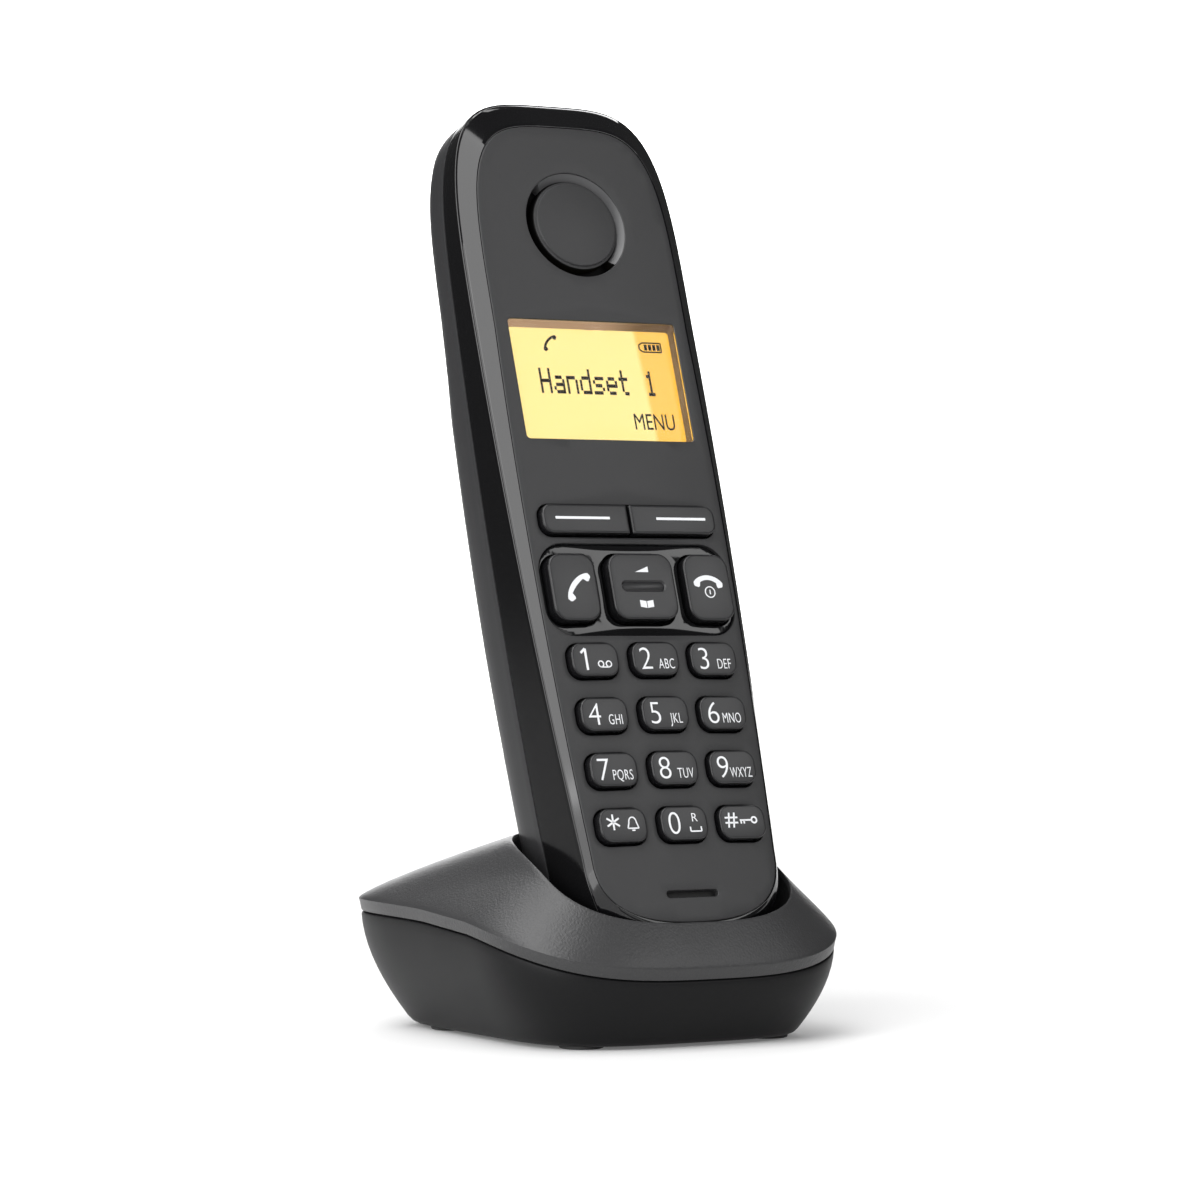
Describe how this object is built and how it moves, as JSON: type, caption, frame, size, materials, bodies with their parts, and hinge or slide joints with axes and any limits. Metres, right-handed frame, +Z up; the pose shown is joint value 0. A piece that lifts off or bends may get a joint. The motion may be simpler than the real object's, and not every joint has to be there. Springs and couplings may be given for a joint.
{
  "type": "cordless phone with base",
  "caption": "Cordless telephone handset with amber display and number keys, standing in a small charging base with a raked cradle.",
  "frame": {"origin": "on the floor, below the middle of the base's box", "axes": "+Z up, keys face -Y, +X to the right of a person facing the keys"},
  "size_m": [0.0666, 0.075, 0.1608],
  "materials": {
    "gloss_black": "polished moulded ABS",
    "matte_plate": "fine texture",
    "rear_grey": "satin",
    "clear_lens": "clear",
    "lcd_amber": "backlit amber",
    "diffuser": "diffuse",
    "speaker_metal": "satin",
    "silicone_mat": "matte",
    "circuit_board": "solder mask",
    "shield_metal": "tinned",
    "contact_metal": "plated",
    "cell_wrap": "printed film",
    "base_matte": "fine texture",
    "base_satin": "smooth satin",
    "jack_plastic": "moulded",
    "key_black": "satin",
    "foot_rubber": "matte"
  },
  "bodies": {
    "base": {"base_top_shell": "base_matte", "base_bottom_shell": "base_satin", "base_board": "circuit_board", "base_shield": "shield_metal", "base_antennas": "contact_metal", "line_jack": "jack_plastic", "power_jack": "jack_plastic", "page_switch": "shield_metal", "rubber_feet": "foot_rubber"},
    "handset": {"front_shell": "gloss_black", "face_plate": "matte_plate", "rear_shell": "rear_grey", "display_lens": "clear_lens", "lcd_module": "lcd_amber", "light_guide": "diffuser", "earpiece_disc": "matte_plate", "earpiece_speaker": "speaker_metal", "key_panel": "gloss_black", "keypad_mat": "silicone_mat", "main_board": "circuit_board", "shield_can": "shield_metal", "handset_antenna": "contact_metal", "microphone": "speaker_metal", "ringer_speaker": "speaker_metal", "battery_left": "cell_wrap", "battery_right": "cell_wrap", "battery_contacts": "contact_metal", "charge_pad_left": "contact_metal", "charge_pad_right": "contact_metal"},
    "battery_cover": {"battery_cover": "rear_grey"},
    "page_key": {"page_key": "key_black"},
    "charge_contact_left": {"charge_contact_left": "contact_metal"},
    "charge_contact_right": {"charge_contact_right": "contact_metal"},
    "soft_key_left": {"soft_key_left": "key_black"},
    "soft_key_right": {"soft_key_right": "key_black"},
    "talk_key": {"talk_key": "key_black"},
    "end_key": {"end_key": "key_black"},
    "key_1": {"key_1": "key_black"},
    "key_2": {"key_2": "key_black"},
    "key_3": {"key_3": "key_black"},
    "key_4": {"key_4": "key_black"},
    "key_5": {"key_5": "key_black"},
    "key_6": {"key_6": "key_black"},
    "key_7": {"key_7": "key_black"},
    "key_8": {"key_8": "key_black"},
    "key_9": {"key_9": "key_black"},
    "key_star": {"key_star": "key_black"},
    "key_0": {"key_0": "key_black"},
    "key_hash": {"key_hash": "key_black"},
    "nav_key": {"nav_key": "key_black"}
  },
  "joints": [
    {"name": "handset_lift", "type": "slide", "parent": "base", "child": "handset", "axis": [0, 0.3206, 0.9472], "range_m": [0, 0.07]},
    {"name": "soft_key_left_press", "type": "slide", "parent": "handset", "child": "soft_key_left", "axis": [0, 0.9472, -0.3206], "range_m": [0, 0.0006], "stiffness_N_per_m": 400},
    {"name": "soft_key_right_press", "type": "slide", "parent": "handset", "child": "soft_key_right", "axis": [0, 0.9472, -0.3206], "range_m": [0, 0.0006], "stiffness_N_per_m": 400},
    {"name": "talk_key_press", "type": "slide", "parent": "handset", "child": "talk_key", "axis": [0, 0.9472, -0.3206], "range_m": [0, 0.0006], "stiffness_N_per_m": 400},
    {"name": "end_key_press", "type": "slide", "parent": "handset", "child": "end_key", "axis": [0, 0.9472, -0.3206], "range_m": [0, 0.0006], "stiffness_N_per_m": 400},
    {"name": "key_1_press", "type": "slide", "parent": "handset", "child": "key_1", "axis": [0, 0.9472, -0.3206], "range_m": [0, 0.0006], "stiffness_N_per_m": 400},
    {"name": "key_2_press", "type": "slide", "parent": "handset", "child": "key_2", "axis": [0, 0.9472, -0.3206], "range_m": [0, 0.0006], "stiffness_N_per_m": 400},
    {"name": "key_3_press", "type": "slide", "parent": "handset", "child": "key_3", "axis": [0, 0.9472, -0.3206], "range_m": [0, 0.0006], "stiffness_N_per_m": 400},
    {"name": "key_4_press", "type": "slide", "parent": "handset", "child": "key_4", "axis": [0, 0.9472, -0.3206], "range_m": [0, 0.0006], "stiffness_N_per_m": 400},
    {"name": "key_5_press", "type": "slide", "parent": "handset", "child": "key_5", "axis": [0, 0.9472, -0.3206], "range_m": [0, 0.0006], "stiffness_N_per_m": 400},
    {"name": "key_6_press", "type": "slide", "parent": "handset", "child": "key_6", "axis": [0, 0.9472, -0.3206], "range_m": [0, 0.0006], "stiffness_N_per_m": 400},
    {"name": "key_7_press", "type": "slide", "parent": "handset", "child": "key_7", "axis": [0, 0.9472, -0.3206], "range_m": [0, 0.0006], "stiffness_N_per_m": 400},
    {"name": "key_8_press", "type": "slide", "parent": "handset", "child": "key_8", "axis": [0, 0.9472, -0.3206], "range_m": [0, 0.0006], "stiffness_N_per_m": 400},
    {"name": "key_9_press", "type": "slide", "parent": "handset", "child": "key_9", "axis": [0, 0.9472, -0.3206], "range_m": [0, 0.0006], "stiffness_N_per_m": 400},
    {"name": "key_star_press", "type": "slide", "parent": "handset", "child": "key_star", "axis": [0, 0.9472, -0.3206], "range_m": [0, 0.0006], "stiffness_N_per_m": 400},
    {"name": "key_0_press", "type": "slide", "parent": "handset", "child": "key_0", "axis": [0, 0.9472, -0.3206], "range_m": [0, 0.0006], "stiffness_N_per_m": 400},
    {"name": "key_hash_press", "type": "slide", "parent": "handset", "child": "key_hash", "axis": [0, 0.9472, -0.3206], "range_m": [0, 0.0006], "stiffness_N_per_m": 400},
    {"name": "nav_key_rock", "type": "hinge", "parent": "handset", "child": "nav_key", "pos_m": [0, -0.01129, 0.07495], "axis": [1, 0, 0], "range_deg": [-3, 3], "stiffness_Nm_per_rad": 0.05},
    {"name": "battery_cover_tilt", "type": "hinge", "parent": "handset", "child": "battery_cover", "pos_m": [0, 0.00227, 0.04766], "axis": [-1, 0, 0], "range_deg": [0, 40]},
    {"name": "page_key_press", "type": "slide", "parent": "base", "child": "page_key", "axis": [0, 0, 1], "range_m": [0, 0.0005], "stiffness_N_per_m": 400},
    {"name": "charge_contact_left_dip", "type": "slide", "parent": "base", "child": "charge_contact_left", "axis": [0, 0.3206, 0.9472], "range_m": [-0.0008, 0], "stiffness_N_per_m": 300},
    {"name": "charge_contact_right_dip", "type": "slide", "parent": "base", "child": "charge_contact_right", "axis": [0, 0.3206, 0.9472], "range_m": [-0.0008, 0], "stiffness_N_per_m": 300}
  ]
}
